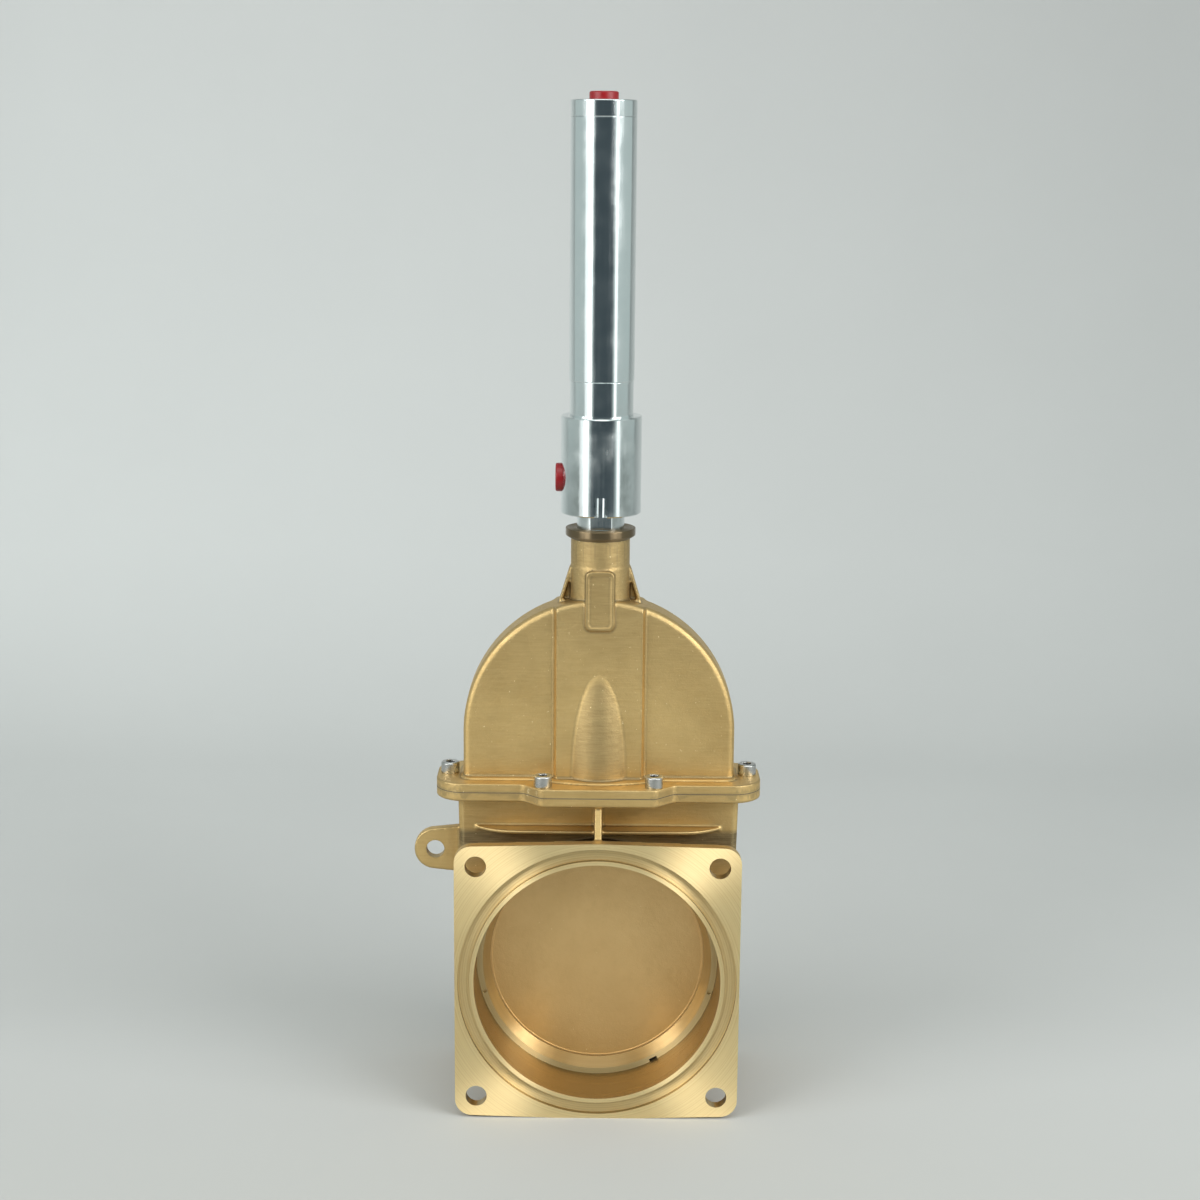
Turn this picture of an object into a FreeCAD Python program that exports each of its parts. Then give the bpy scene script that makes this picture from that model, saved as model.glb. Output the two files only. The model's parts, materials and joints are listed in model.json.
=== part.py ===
import FreeCAD, Part
import math
import os

Vector = FreeCAD.Vector

# Hydraulic slide gate valve for tankers, in millimetres.
# The valve is drawn with the bore centre at the origin and the gate in the plane y = 0.
# It is moved at the end, so that the origin is the bore centre on the front flange face.

# Flow passage and square end flanges
bore_radius = 86.6
face_to_face = 120.0
flange_rim = 13.4
flange_thickness = 9.0
flange_corner_radius = 12.0
flange_corner_drop = 0.7
flange_draft = 1.6
foot_half_width = 30.0
bolt_edge = 15.0
bolt_hole_radius = 7.5
gasket_lip = 3.0
gasket_groove_width = 8.4
gasket_groove_depth = 3.5
passage_wall = 5.4

# Gate and the boss that the rod pulls on
gate_overlap = 3.4
gate_thickness = 12.0
gate_edge_chamfer = 1.0
gate_face_inset = 0.5
gate_band_width = 14.0
boss_half_width = 11.0
boss_half_depth = 12.0
boss_height = 22.0
boss_head_height = 18.0
boss_corner_radius = 2.5
boss_root = 10.0

# Threaded coupling between the gate and the rod
button_radius = 8.5
button_height = 6.2
button_gap = 0.2
button_floor = 3.4
coupling_neck_radius = 5.1
coupling_side_gap = 0.3
coupling_hex_across = 17.0
coupling_hex_height = 8.0
coupling_stand_off = 1.0
stud_radius = 6.0
stud_length = 20.0

# Seat rings, which screw into the passage from both ends
seat_ring_length = 10.0
seat_face_width = 4.3
seat_cone_depth = 5.0
seat_gate_gap = 0.7
seat_seal_width = 4.0
seat_seal_depth = 3.3
seat_seal_lip = 2.3
seat_seal_gap = 0.3
seat_oring_radius = 0.95
seat_oring_setback = 2.95
spanner_hole_radius = 1.6
spanner_hole_depth = 1.5
spanner_hole_angle = -16.0
lock_notch_angle = -61.0
lock_notch_width = 6.0
lock_notch_depth = 2.0

# Body casting
gate_side_gap = 1.5
gate_face_gap = 1.2
boss_gap = 0.8
body_wall = 4.2
body_edge_wall = 5.5
body_draft = 1.2
body_edge_chamfer = 3.0
throat_floor = 50.0
throat_corner_radius = 5.0
rib_height = 100.5
rib_thickness = 2.6
rib_depth = 13.0
rib_half_length = 88.0
rib_run_out = 18.0
rib_sweep_radius = 40.0
centre_rib_thickness = 5.0
centre_rib_setback = 2.0
lug_reach = 17.4
lug_height = 79.5
lug_radius = 15.0
lug_hole_radius = 6.5
lug_thickness = 8.0
lug_root_flare = 2.5

# Bolted joint between the body and the bonnet
joint_height = 129.7
joint_gasket = 0.5
body_flange_thickness = 6.35
bonnet_flange_thickness = 6.05
joint_end_land = 15.4
joint_side_land = 14.0
joint_middle_half_width = 40.0
joint_middle_land = 13.0
joint_corner_radius = 21.0
joint_blend_radius = 7.0
gasket_window_gap = 1.0

# Socket-head screws of the joint
screw_radius = 4.0
screw_length = 12.0
screw_head_radius = 6.5
screw_head_height = 8.0
screw_head_chamfer = 0.8
screw_socket_across = 6.0
screw_socket_depth = 4.0
screw_hole_gap = 0.4
screw_end_edge = 9.0
screw_middle_x = 39.0
screw_middle_edge = 10.0

# Bonnet casting
stroke = 168.0
dome_rise = 2.0
dome_gap = 1.2
bonnet_wall = 4.6
bonnet_side_depth = 16.0
bonnet_rim_radius = 4.0
spine_depth = 21.0
spine_half_width = 32.0
spine_bevel = 2.0
spine_rim_radius = 3.0
hump_radius = 29.0
hump_reach = 28.0
hump_height = 77.0
ledge_height = 1.3
ledge_width = 4.0
ledge_end_width = 1.5
ledge_corner_radius = 8.0
ledge_bulge_half_width = 45.0
ledge_blend_radius = 20.0
pad_half_width = 10.0
pad_proud = 1.7
pad_drop = 21.2
pad_rise = 20.7
pad_corner_radius = 4.0
pad_frame = 2.0
pad_recess = 0.6

# Neck of the bonnet with its bush, seal and lock ring
neck_boss_gap = 0.75
neck_wall = 3.62
neck_step = 0.3
neck_step_height = 21.9
open_gap = 2.0
neck_land = 3.0
neck_land_gap = 1.5
neck_bush_wall = 4.0
neck_bush_length = 6.5
neck_oring_radius = 0.85
neck_seal_height = 4.0
nose_thread_length = 11.0
gusset_top_width = 0.75
gusset_foot = 7.3
gusset_half_depth = 6.0
gusset_web_half_depth = 2.0
gusset_border = 2.2
gusset_pocket_drop = 7.0
neck_sink = 12.0
lock_ring_rim = 3.85
lock_ring_height = 7.6
lock_ring_cone = 2.5

# Hydraulic cylinder
rod_radius = 10.0
cylinder_bore_radius = 18.0
cylinder_wall = 4.5
land_step = 0.5
head_wall = 6.0
nose_radius_step = 0.43
nose_exposed = 10.5
nose_flat_depth = 1.4
head_length = 68.0
head_socket_depth = 31.0
head_edge_chamfer = 0.8
land_length = 24.0
gallery_width = 4.0
gallery_height = 18.0
notch_radius = 4.4
notch_height = 14.0
notch_offset = 0.6
piston_dead_space = 28.0
piston_length = 26.0
piston_gap = 0.07
cap_gap = 1.0
cap_spigot = 9.4
cap_thickness = 11.3
cap_chamfer = 0.6

# Seals, bushes and fasteners inside the cylinder
running_gap = 0.05
seal_rod_gap = 0.1
seat_fit = 0.05
bush_wall = 2.5
bush_length = 19.0
wiper_width = 3.95
wiper_height = 4.7
wiper_seat_height = 5.1
bush_step = 1.0
rod_seal_width = 4.95
rod_seal_height = 7.8
rod_seal_seat_gap = 0.1
rod_seal_rise = 2.0
rod_bore_gap = 0.4
lip_depth = 2.0
rod_spigot_radius = 7.0
nut_across = 21.0
nut_height = 8.5
nut_pocket_gap = 0.48
nut_sink = 1.0
piston_seal_width = 4.0
piston_seal_depth = 3.3
piston_seal_edge = 3.0
guide_ring_width = 6.0
piston_oring_radius = 0.9
head_oring_radius = 1.2
head_oring_height = 5.0
cap_oring_radius = 1.0
cap_oring_height = 3.7

# Hydraulic ports and their red transit plugs
port_radius = 8.3
port_depth = 11.0
port_drill_radius = 5.0
port_height = 24.5
spot_face_gap = 0.5
plug_flange_radius = 9.9
plug_flange_height = 5.6
plug_stem_length = 10.0
plug_stem_gap = 0.3
plug_wall = 1.6
plug_hex_across = 8.0
plug_hex_depth = 2.6
plug_edge_chamfer = 0.7

# Places worked out from the sizes above
half_length = face_to_face / 2
flange_half = bore_radius + flange_rim
bolt_half = flange_half - bolt_edge
passage_radius = bore_radius + passage_wall
groove_inner = bore_radius + gasket_lip
groove_outer = groove_inner + gasket_groove_width

gate_radius = bore_radius + gate_overlap
gate_half = gate_thickness / 2
boss_top = gate_radius + boss_height
boss_shoulder = boss_top - boss_head_height
slot_floor = boss_shoulder + button_floor
button_bottom = slot_floor + button_gap
button_top = button_bottom + button_height
slot_roof = button_top + button_gap
hex_bottom = boss_top + coupling_stand_off
rod_bottom = hex_bottom + coupling_hex_height

seat_inner_face = gate_half + seat_gate_gap
seat_outer_face = seat_inner_face + seat_ring_length
seat_radius = bore_radius - seat_fit
seat_mouth_radius = bore_radius - seat_face_width
seat_throat_radius = seat_mouth_radius - seat_cone_depth

pocket_radius = gate_radius + gate_side_gap
pocket_half = gate_half + gate_face_gap
throat_half = boss_half_depth + boss_gap
body_half_depth = throat_half + body_wall
body_radius = pocket_radius + body_edge_wall

body_flange_top = joint_height - joint_gasket / 2
body_flange_bottom = body_flange_top - body_flange_thickness
bonnet_flange_bottom = joint_height + joint_gasket / 2
bonnet_base = bonnet_flange_bottom + bonnet_flange_thickness
body_top_half = body_radius + body_flange_bottom * math.tan(math.radians(body_draft))
joint_half_width = body_top_half + joint_end_land
joint_half_depth = body_half_depth + joint_side_land
joint_middle_depth = joint_half_depth + joint_middle_land
screw_end_x = joint_half_width - screw_end_edge
screw_middle_y = joint_middle_depth - screw_middle_edge

dome_centre = stroke + dome_rise
dome_inner = gate_radius + dome_gap
dome_outer = dome_inner + bonnet_wall
dome_top = dome_centre + dome_outer
neck_root = dome_top - neck_sink
neck_cavity_radius = math.hypot(boss_half_width, boss_half_depth) + neck_boss_gap
neck_radius = neck_cavity_radius + neck_wall
neck_cavity_top = boss_top + stroke + open_gap
neck_bush_bottom = neck_cavity_top + neck_land
neck_bush_top = neck_bush_bottom + neck_bush_length
neck_seal_top = neck_bush_top + neck_seal_height
nose_bottom = neck_seal_top + rod_bore_gap
neck_top = nose_bottom + nose_thread_length
neck_bush_radius = rod_radius + neck_bush_wall

lock_ring_top = neck_top + lock_ring_height
lock_ring_radius = neck_radius + lock_ring_rim
nose_radius = neck_cavity_radius - nose_radius_step
head_bottom = lock_ring_top + nose_exposed
head_top = head_bottom + head_length
socket_floor = head_top - head_socket_depth
gallery_floor = socket_floor - gallery_height
tube_shoulder = head_top + land_length
tube_radius = cylinder_bore_radius + cylinder_wall
land_radius = tube_radius - land_step
head_radius = land_radius + head_wall
gallery_radius = rod_radius + gallery_width
port_z = head_bottom + port_height
piston_bottom = socket_floor + piston_dead_space
piston_top = piston_bottom + piston_length
cap_face = piston_top + stroke + cap_gap
tube_top = cap_face + cap_spigot
cap_top = tube_top + cap_thickness
piston_radius = cylinder_bore_radius - piston_gap
spigot_hole_radius = rod_spigot_radius + seat_fit
wiper_seat_top = nose_bottom + wiper_seat_height
wiper_radius = rod_radius + wiper_width
bush_bottom = wiper_seat_top + bush_step
bush_top = bush_bottom + bush_length
bush_radius = rod_radius + bush_wall
rod_bore_radius = rod_radius + rod_bore_gap
rod_seal_floor = head_bottom + rod_seal_rise
rod_seal_roof = rod_seal_floor + rod_seal_height + 2 * rod_seal_seat_gap
rod_seal_radius = rod_radius + rod_seal_width
nut_top = piston_top - nut_sink
nut_bottom = nut_top - nut_height
nut_pocket_radius = nut_across / math.sqrt(3) + nut_pocket_gap
seal_inner_radius = piston_radius - piston_seal_depth
port_spot_radius = plug_flange_radius + spot_face_gap
port_seat_x = math.sqrt(head_radius ** 2 - port_spot_radius ** 2)

X_AXIS = Vector(1, 0, 0)
Y_AXIS = Vector(0, 1, 0)
Z_AXIS = Vector(0, 0, 1)
CENTRE = Vector(0, 0, 0)
OVERRUN = 1.0


def block(half_x, half_y, low, high):
    """A box centred on the z axis."""
    return Part.makeBox(2 * half_x, 2 * half_y, high - low, Vector(-half_x, -half_y, low))


def rod_z(radius, low, high, x=0.0, y=0.0):
    """An upright cylinder."""
    return Part.makeCylinder(radius, high - low, Vector(x, y, low), Z_AXIS)


def rod_y(radius, front, back, x=0.0, z=0.0):
    """A cylinder along the flow."""
    return Part.makeCylinder(radius, back - front, Vector(x, front, z), Y_AXIS)


def prism(points, run):
    """A flat outline, drawn out along a vector."""
    corners = [Vector(*point) for point in points]
    outline = Part.makePolygon(corners + corners[:1])
    return Part.Face(outline).extrude(Vector(*run))


def turned_z(outline):
    """An outline of radius and height, turned about the z axis."""
    corners = [Vector(radius, 0, height) for radius, height in outline]
    face = Part.Face(Part.makePolygon(corners + corners[:1]))
    return face.revolve(CENTRE, Z_AXIS, 360)


def turned_y(outline):
    """An outline of radius and place along the flow, turned about the y axis."""
    corners = [Vector(radius, place, 0) for radius, place in outline]
    face = Part.Face(Part.makePolygon(corners + corners[:1]))
    return face.revolve(CENTRE, Y_AXIS, 360)


def ring(inner, outer, low, high):
    """A plain ring about the z axis."""
    return turned_z([(inner, low), (outer, low), (outer, high), (inner, high)])


def oring(centre_radius, section_radius, place, turned):
    """A rubber ring of six-sided section, turned about z or y."""
    outline = []
    for index in range(6):
        angle = math.radians(60 * index)
        across = centre_radius + section_radius * math.cos(angle)
        outline.append((across, place + section_radius * math.sin(angle)))
    return turned(outline)


def lip_ring(inner, outer, low, high, lip_up=True):
    """A rubber rod seal with a sprung lip on its pressure side."""
    middle = (inner + outer) / 2
    quarter = (outer - inner) / 4
    if lip_up:
        notch = [(middle + quarter, high), (middle, high - lip_depth), (middle - quarter, high)]
        outline = [(inner, low), (outer, low), (outer, high)] + notch + [(inner, high)]
    else:
        notch = [(middle - quarter, low), (middle, low + lip_depth), (middle + quarter, low)]
        outline = [(inner, low)] + notch + [(outer, low), (outer, high), (inner, high)]
    return turned_z(outline)


def hexagon(across, low, high):
    """A hexagonal bar about the z axis, by its width across flats."""
    corner = across / math.sqrt(3)
    points = []
    for index in range(6):
        angle = math.radians(60 * index + 30)
        points.append((corner * math.cos(angle), corner * math.sin(angle), low))
    return prism(points, (0, 0, high - low))


def edges_along(shape, axis, keep):
    """Straight edges that run along an axis and pass a test on their middle point."""
    found = []
    for edge in shape.Edges:
        if edge.Curve.TypeId != "Part::GeomLine":
            continue
        if abs(edge.tangentAt(edge.FirstParameter).dot(axis)) < 0.9999:
            continue
        if keep(edge.CenterOfMass):
            found.append(edge)
    return found


def front_and_back(shape):
    """A shape and its mirror image behind the gate plane."""
    return [shape, shape.mirror(CENTRE, Y_AXIS)]


def left_and_right(shape):
    """A shape and its mirror image on the other side."""
    return [shape, shape.mirror(CENTRE, X_AXIS)]


def u_slab(radius, centre_z, end_z, half_depth, draft=0.0):
    """A slab across the flow with one round end and drafted sides that run to end_z."""
    way = math.copysign(1, end_z - centre_z)
    tilt = math.radians(draft)
    touch_x = radius * math.cos(tilt)
    touch_z = centre_z - way * radius * math.sin(tilt)
    end_x = touch_x + abs(end_z - touch_z) * math.tan(tilt)
    left = Vector(-touch_x, -half_depth, touch_z)
    right = Vector(touch_x, -half_depth, touch_z)
    tip = Vector(0, -half_depth, centre_z - way * radius)
    arc = Part.Arc(left, tip, right).toShape()
    sides = Part.makePolygon([right, Vector(end_x, -half_depth, end_z), Vector(-end_x, -half_depth, end_z), left])
    outline = Part.Wire([arc] + sides.Edges)
    return Part.Face(outline).extrude(Vector(0, 2 * half_depth, 0))


def rounded_slab(half_depth, rounding):
    """A domed slab of the bonnet with its rim rounded in two steps."""
    step = rounding * (1 - math.sqrt(0.5))
    rim = [
        (dome_outer - rounding, -half_depth),
        (dome_outer - step, step - half_depth),
        (dome_outer, rounding - half_depth),
    ]
    rim += [(radius, -place) for radius, place in reversed(rim)]
    dome_outline = [Vector(0, -half_depth, 0)] + [Vector(radius, place, 0) for radius, place in rim]
    dome_outline.append(Vector(0, half_depth, 0))
    dome_face = Part.Face(Part.makePolygon(dome_outline + dome_outline[:1]))
    dome = dome_face.revolve(CENTRE, -Y_AXIS, 180)
    dome.translate(Vector(0, 0, dome_centre))
    plan = rim + [(-radius, place) for radius, place in reversed(rim)]
    legs = prism([(x, y, bonnet_base) for x, y in plan], (0, 0, dome_centre - bonnet_base))
    return dome.fuse(legs).removeSplitter()


def square_flange(front, back):
    """One square end flange with drafted top and bottom edges and a flat foot."""
    rise = math.tan(math.radians(flange_draft))
    corner = flange_half - flange_corner_drop
    peak = corner + flange_half * rise
    foot = corner + (flange_half - foot_half_width) * rise
    points = [
        (-flange_half, front, -corner),
        (-foot_half_width, front, -foot),
        (foot_half_width, front, -foot),
        (flange_half, front, -corner),
        (flange_half, front, corner),
        (0, front, peak),
        (-flange_half, front, corner),
    ]
    plate = prism(points, (0, back - front, 0))
    corners = edges_along(plate, Y_AXIS, lambda middle: abs(middle.x) > flange_half - OVERRUN)
    return plate.makeFillet(flange_corner_radius, corners)


def joint_plate(low, high):
    """The long plate of the joint, wider in the middle where the inner screws sit."""
    blend = joint_middle_half_width + joint_middle_land
    quarter = [
        (joint_half_width, joint_half_depth),
        (blend, joint_half_depth),
        (joint_middle_half_width, joint_middle_depth),
    ]
    back = quarter + [(-x, y) for x, y in reversed(quarter)]
    outline = back + [(-x, -y) for x, y in back]
    plate = prism([(x, y, low) for x, y in outline], (0, 0, high - low))
    ends = edges_along(plate, Z_AXIS, lambda middle: abs(middle.x) > joint_half_width - OVERRUN)
    plate = plate.makeFillet(joint_corner_radius, ends)
    bends = edges_along(plate, Z_AXIS, lambda middle: abs(middle.x) < blend + OVERRUN)
    return plate.makeFillet(joint_blend_radius, bends)


def screw_places():
    """Centres of the six joint screws."""
    places = [(-screw_end_x, 0.0), (screw_end_x, 0.0)]
    for x in (-screw_middle_x, screw_middle_x):
        for y in (-screw_middle_y, screw_middle_y):
            places.append((x, y))
    return places


def joint_screw_holes(radius, low, high):
    """Upright holes at the six joint screws."""
    return [rod_z(radius, low, high, x, y) for x, y in screw_places()]


def side_rib():
    """The level stiffening rib on the front wall of the body, swept back at both ends."""
    root = body_half_depth - OVERRUN
    front = body_half_depth + rib_depth
    straight = rib_half_length - rib_run_out
    low = rib_height - rib_thickness / 2
    points = [
        (-rib_half_length, -root, low),
        (-rib_half_length, -body_half_depth, low),
        (-straight, -front, low),
        (straight, -front, low),
        (rib_half_length, -body_half_depth, low),
        (rib_half_length, -root, low),
    ]
    rib = prism(points, (0, 0, rib_thickness))
    shoulders = edges_along(rib, Z_AXIS, lambda middle: middle.y < OVERRUN - front)
    return rib.makeFillet(rib_sweep_radius, shoulders)


def centre_rib():
    """The upright rib between the joint plate and the front flange."""
    half = centre_rib_thickness / 2
    root = throat_half + body_wall / 2
    top = body_flange_bottom + OVERRUN
    toe = half_length - flange_thickness + OVERRUN
    points = [
        (-half, -root, passage_radius - OVERRUN),
        (-half, -root, top),
        (-half, centre_rib_setback - joint_middle_depth, top),
        (-half, -toe, flange_half - flange_corner_drop),
        (-half, -toe, passage_radius - OVERRUN),
    ]
    return prism(points, (2 * half, 0, 0))


def lug():
    """The drilled lug on the left side of the body."""
    half = lug_thickness / 2
    centre_x = -body_top_half - lug_reach
    root_x = -pocket_radius - body_edge_wall / 2
    root_half = lug_radius + lug_root_flare
    points = [
        (centre_x, -half, lug_height + lug_radius),
        (root_x, -half, lug_height + root_half),
        (root_x, -half, lug_height - root_half),
        (centre_x, -half, lug_height - lug_radius),
    ]
    arm = prism(points, (0, lug_thickness, 0))
    eye = rod_y(lug_radius, -half, half, centre_x, lug_height)
    hole = rod_y(lug_hole_radius, -half - OVERRUN, half + OVERRUN, centre_x, lug_height)
    return arm.fuse(eye).cut(hole)


def flange_cuts():
    """Bolt holes and the gasket groove of the front flange."""
    front = -half_length
    inner_face = front + flange_thickness
    cuts = []
    for x in (-bolt_half, bolt_half):
        for z in (-bolt_half, bolt_half):
            cuts.append(rod_y(bolt_hole_radius, front - OVERRUN, inner_face + OVERRUN, x, z))
    groove_bottom = front + gasket_groove_depth
    outline = [
        (groove_inner, front - OVERRUN),
        (groove_outer, front - OVERRUN),
        (groove_outer, groove_bottom),
        (groove_inner, groove_bottom),
    ]
    cuts.append(turned_y(outline))
    return cuts


def valve_body():
    """The brass body casting: passage, gate pocket, flanges, ribs and lug."""
    shell = u_slab(body_radius, 0, body_flange_bottom, body_half_depth, body_draft)
    rim = [edge for edge in shell.Edges
           if abs(abs(edge.CenterOfMass.y) - body_half_depth) < OVERRUN
           and edge.BoundBox.ZMin < body_flange_bottom - OVERRUN]
    shell = shell.makeChamfer(body_edge_chamfer, rim)
    pieces = [rod_y(passage_radius, OVERRUN - half_length, half_length - OVERRUN)]
    pieces += [joint_plate(body_flange_bottom, body_flange_top), lug()]
    pieces += front_and_back(square_flange(-half_length, flange_thickness - half_length))
    pieces += front_and_back(side_rib())
    pieces += front_and_back(centre_rib())
    casting = shell.multiFuse(pieces)

    throat = block(pocket_radius, throat_half, throat_floor, body_flange_top + OVERRUN)
    throat = throat.makeFillet(throat_corner_radius, edges_along(throat, Z_AXIS, lambda middle: True))
    throat = throat.cut(rod_y(passage_radius, -body_half_depth, body_half_depth))
    cuts = [rod_y(bore_radius, -half_length - OVERRUN, half_length + OVERRUN)]
    cuts += [u_slab(pocket_radius, 0, body_flange_top + OVERRUN, pocket_half), throat]
    cuts += joint_screw_holes(screw_radius + seat_fit, body_flange_bottom - OVERRUN, body_flange_top + OVERRUN)
    for cut in flange_cuts():
        cuts += front_and_back(cut)
    return casting.cut(cuts).removeSplitter()


def hump(radius, low):
    """The front half of a round hump, upright at its foot and falling back into the spine along an arc."""
    drop = hump_reach - spine_depth
    arc_radius = (hump_height ** 2 + drop ** 2) / (2 * drop)
    turn = math.degrees(math.acos(1 - (drop + OVERRUN) / arc_radius))
    middle = Vector(0, hump_radius - hump_reach, bonnet_base)
    foot = rod_z(radius, low, bonnet_base, 0, middle.y)
    disc = Part.Face(Part.Wire(Part.makeCircle(radius, middle, Z_AXIS)))
    nose = disc.revolve(Vector(0, arc_radius - hump_reach, bonnet_base), -X_AXIS, turn)
    front_half = Part.makeBox(
        2 * radius, hump_reach + OVERRUN, 2 * hump_height, Vector(-radius, -hump_reach - OVERRUN, low))
    return foot.fuse(nose).common(front_half)


def bonnet_shell():
    """The domed side panels and the thicker spine in the middle."""
    outer = spine_half_width + spine_bevel
    inner = spine_half_width - spine_bevel
    edge_depth = bonnet_side_depth - bonnet_wall
    plan = [(-outer, -edge_depth), (-inner, -spine_depth), (inner, -spine_depth), (outer, -edge_depth)]
    plan += [(-x, -y) for x, y in plan]
    bar = prism([(x, y, bonnet_base) for x, y in plan], (0, 0, dome_top - bonnet_base))
    spine = rounded_slab(spine_depth, spine_rim_radius).common(bar)
    return [rounded_slab(bonnet_side_depth, bonnet_rim_radius), spine]


def bonnet_ledge():
    """The low raised step round the foot of the bonnet wall, bulging round the humps."""
    top = bonnet_base + ledge_height
    side = bonnet_side_depth + ledge_width
    step = block(dome_outer + ledge_end_width, side, bonnet_base, top)
    step = step.makeFillet(ledge_corner_radius, edges_along(step, Z_AXIS, lambda middle: True))
    bulge = hump_reach + ledge_width - side
    arc_radius = (ledge_bulge_half_width ** 2 + bulge ** 2) / (2 * bulge)
    disc = rod_z(arc_radius, bonnet_base, top, 0, arc_radius - bulge - side)
    front_part = Part.makeBox(
        2 * ledge_bulge_half_width, side + bulge, ledge_height,
        Vector(-ledge_bulge_half_width, -side - bulge, bonnet_base))
    lens = disc.common(front_part)
    ledge = step.multiFuse(front_and_back(lens)).removeSplitter()
    bends = edges_along(ledge, Z_AXIS, lambda middle: abs(abs(middle.x) - ledge_bulge_half_width) < OVERRUN)
    return ledge.makeFillet(ledge_blend_radius, bends)


def gusset():
    """The right-hand web between the neck and the dome, pocketed on both faces."""
    top_z = dome_top + neck_step_height - OVERRUN
    foot_z = dome_top - gusset_border - OVERRUN
    root = neck_cavity_radius + neck_wall / 2
    top_x = neck_radius + gusset_top_width
    foot_x = top_x + gusset_foot
    points = [(root, top_z), (top_x, top_z), (foot_x, foot_z), (foot_x, neck_root), (root, neck_root)]
    web = prism([(x, -gusset_half_depth, z) for x, z in points], (0, 2 * gusset_half_depth, 0))
    slope = (foot_x - top_x) / (top_z - foot_z)
    pocket_top = top_z - gusset_pocket_drop
    pocket_low = dome_top - gusset_border
    inset = gusset_border * math.hypot(1, slope)
    pocket = [
        (neck_radius, pocket_top),
        (top_x + (top_z - pocket_top) * slope - inset, pocket_top),
        (top_x + (top_z - pocket_low) * slope - inset, pocket_low),
        (neck_radius, pocket_low),
    ]
    depth = gusset_half_depth - gusset_web_half_depth + OVERRUN
    recess = prism([(x, -gusset_half_depth - OVERRUN, z) for x, z in pocket], (0, depth, 0))
    return web.cut(front_and_back(recess))


def pad():
    """The framed plain pad on the front of the neck."""
    low = dome_top - pad_drop
    high = dome_top + pad_rise
    front = spine_depth + pad_proud
    plate = Part.makeBox(2 * pad_half_width, front, high - low, Vector(-pad_half_width, -front, low))
    plate = plate.makeFillet(pad_corner_radius, edges_along(plate, Y_AXIS, lambda middle: True))
    inner = pad_half_width - pad_frame
    recess = Part.makeBox(
        2 * inner, pad_recess + OVERRUN, high - low - 2 * pad_frame,
        Vector(-inner, -front - OVERRUN, low + pad_frame))
    recess = recess.makeFillet(pad_corner_radius - pad_frame / 2, edges_along(recess, Y_AXIS, lambda middle: True))
    return plate.cut(recess)


def bonnet_cavity():
    """The space that the gate, its boss and the rod move in."""
    low = bonnet_flange_bottom - OVERRUN
    sides = u_slab(dome_inner, dome_centre, low, bonnet_side_depth - bonnet_wall)
    dome = u_slab(dome_inner, dome_centre, low, spine_depth)
    spine = dome.common(block(spine_half_width - bonnet_wall, spine_depth - bonnet_wall, low, dome_top))
    humps = front_and_back(hump(hump_radius - bonnet_wall, low))
    tunnel = rod_z(neck_cavity_radius, neck_root, neck_cavity_top)
    return [sides, spine, tunnel] + humps


def bonnet():
    """The brass bonnet casting with its dome, humps, neck, gussets and pad."""
    shell = bonnet_shell()
    pieces = [joint_plate(bonnet_flange_bottom, bonnet_base), bonnet_ledge(), pad()]
    pieces += front_and_back(hump(hump_radius, bonnet_base - OVERRUN))
    pieces += [rod_z(neck_radius, neck_root, neck_top)]
    pieces += [rod_z(neck_radius + neck_step, neck_root, dome_top + neck_step_height)]
    pieces += left_and_right(gusset())
    casting = shell[0].multiFuse(shell[1:] + pieces)

    cuts = bonnet_cavity()
    cuts += [rod_z(rod_radius + neck_land_gap, dome_top, neck_top)]
    cuts += [rod_z(neck_bush_radius + seat_fit, neck_bush_bottom, neck_top)]
    cuts += [rod_z(nose_radius + seat_fit, nose_bottom - seat_fit, neck_top + OVERRUN)]
    cuts += joint_screw_holes(
        screw_radius + screw_hole_gap, bonnet_flange_bottom - OVERRUN, bonnet_base + ledge_height + OVERRUN)
    return casting.cut(cuts).removeSplitter()


def bonnet_gasket():
    """The flat gasket between the body and the bonnet."""
    low = body_flange_top
    high = bonnet_flange_bottom
    sheet = joint_plate(low, high)
    side = block(
        dome_inner + gasket_window_gap, throat_half + gasket_window_gap, low - OVERRUN, high + OVERRUN)
    middle = block(
        spine_half_width - bonnet_wall + gasket_window_gap, hump_reach - bonnet_wall + gasket_window_gap,
        low - OVERRUN, high + OVERRUN)
    window = side.fuse(middle).removeSplitter()
    holes = joint_screw_holes(screw_radius + screw_hole_gap, low - OVERRUN, high + OVERRUN)
    return sheet.cut([window] + holes)


def joint_screw(x, y):
    """One socket-head screw, standing on the bonnet flange."""
    head_low = bonnet_base
    head_high = head_low + screw_head_height
    low = bonnet_base - screw_length
    outline = [
        (0, low),
        (screw_radius - screw_head_chamfer, low),
        (screw_radius, low + screw_head_chamfer),
        (screw_radius, head_low),
        (screw_head_radius, head_low),
        (screw_head_radius, head_high - screw_head_chamfer),
        (screw_head_radius - screw_head_chamfer, head_high),
        (0, head_high),
    ]
    socket = hexagon(screw_socket_across, head_high - screw_socket_depth, head_high + OVERRUN)
    screw = turned_z(outline).cut(socket)
    screw.translate(Vector(x, y, 0))
    return screw


def bonnet_screws():
    """The six screws of the joint."""
    return Part.makeCompound([joint_screw(x, y) for x, y in screw_places()])


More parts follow.
